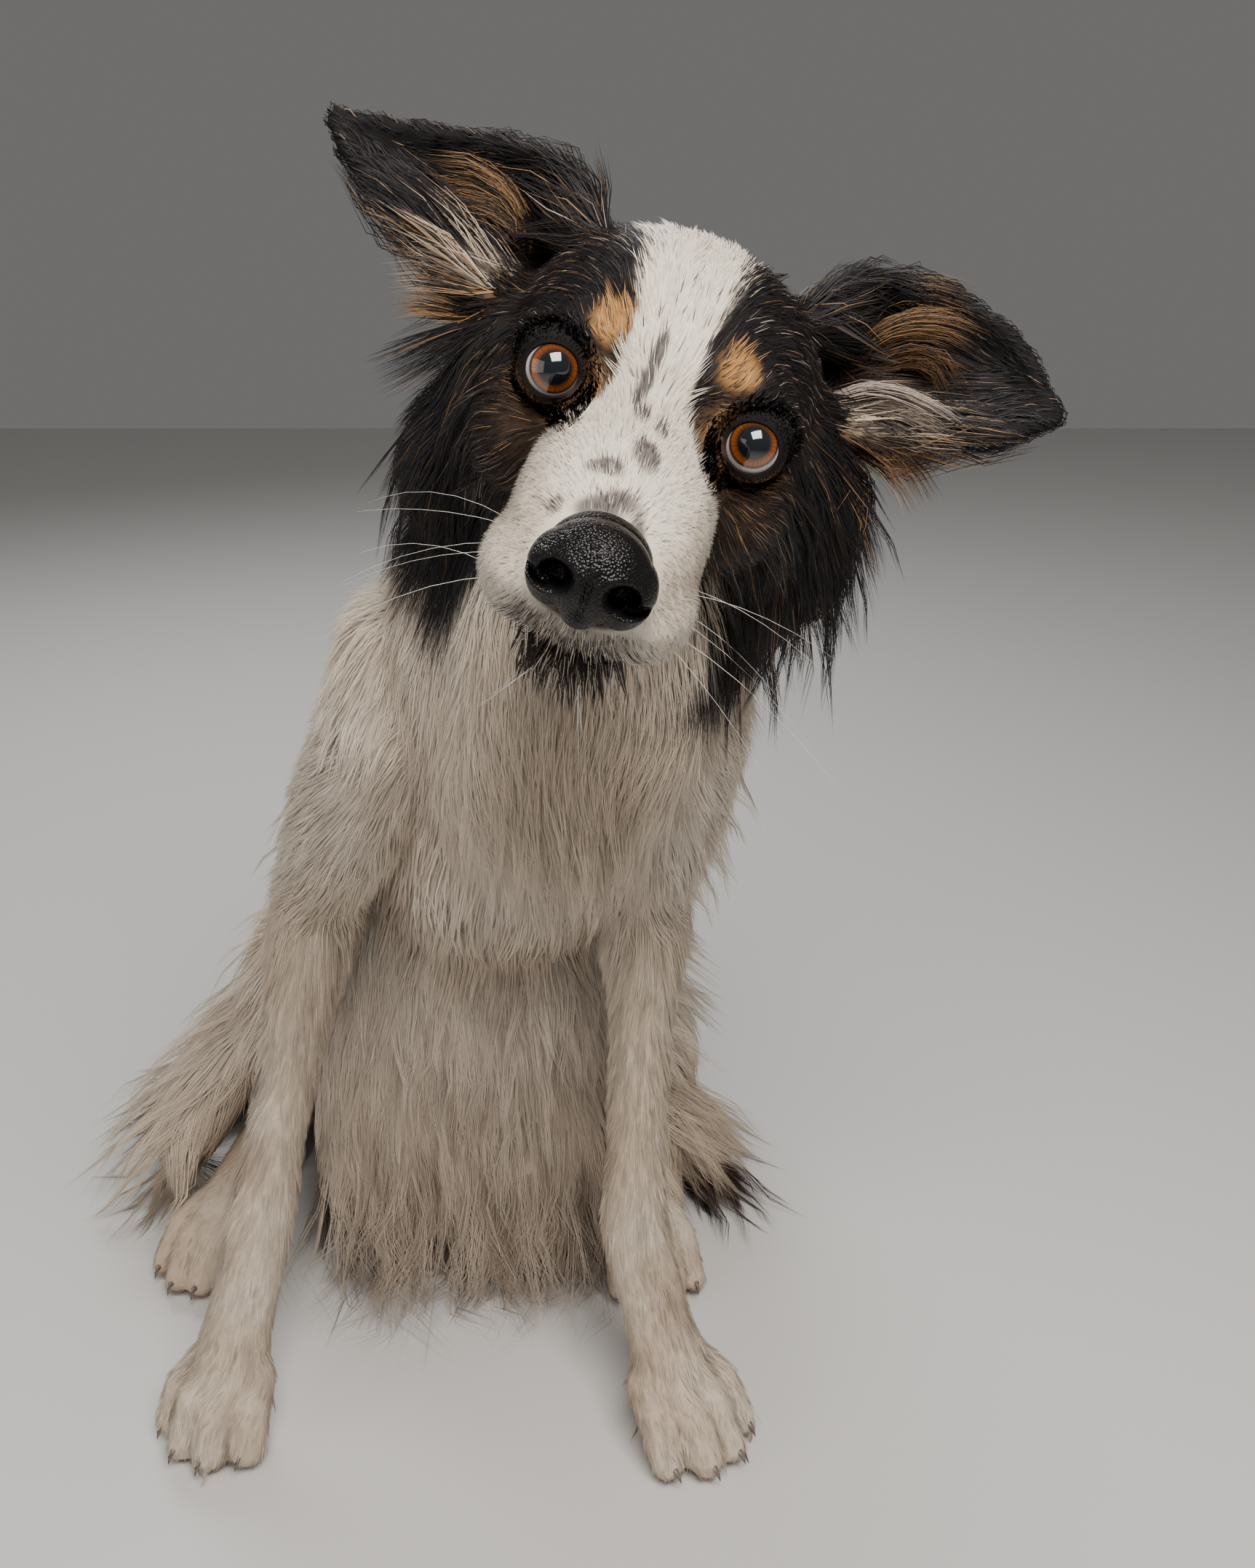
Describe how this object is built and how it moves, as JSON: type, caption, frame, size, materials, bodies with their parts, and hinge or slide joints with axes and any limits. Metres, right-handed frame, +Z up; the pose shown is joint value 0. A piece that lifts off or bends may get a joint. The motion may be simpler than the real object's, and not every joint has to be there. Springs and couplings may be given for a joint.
{
  "type": "sitting dog",
  "caption": "Sitting border collie with a tilted head, semi-erect ears, a white ruff and a black, white and tan coat",
  "frame": {"origin": "on the floor, under the middle of the dog's bounding box", "axes": "the dog faces -Y, its own left side is +X and +Z is up"},
  "size_m": [0.4954, 0.6598, 0.5955],
  "materials": {
    "white_coat": "long soft white hair",
    "black_coat": "soft black hair",
    "brown_coat": "long black-brown hair",
    "nose_leather": "moist, finely pebbled",
    "eye": "wet and clear over an amber-brown iris"
  },
  "bodies": {
    "root": {"head": "black_coat", "ear_left": "black_coat", "ear_right": "black_coat", "loin": "black_coat", "rump": "black_coat", "muzzle": "white_coat", "lower_jaw": "white_coat", "neck": "white_coat", "chest": "white_coat", "belly": "white_coat", "upper_arm_left": "white_coat", "upper_arm_right": "white_coat", "forearm_left": "white_coat", "forearm_right": "white_coat", "forepaw_left": "white_coat", "forepaw_right": "white_coat", "thigh_left": "white_coat", "thigh_right": "white_coat", "hindpaw_left": "white_coat", "hindpaw_right": "white_coat", "tail_root": "brown_coat", "tail_plume": "brown_coat", "breeches": "brown_coat", "nose": "nose_leather", "eye_left": "eye", "eye_right": "eye"}
  },
  "joints": []
}
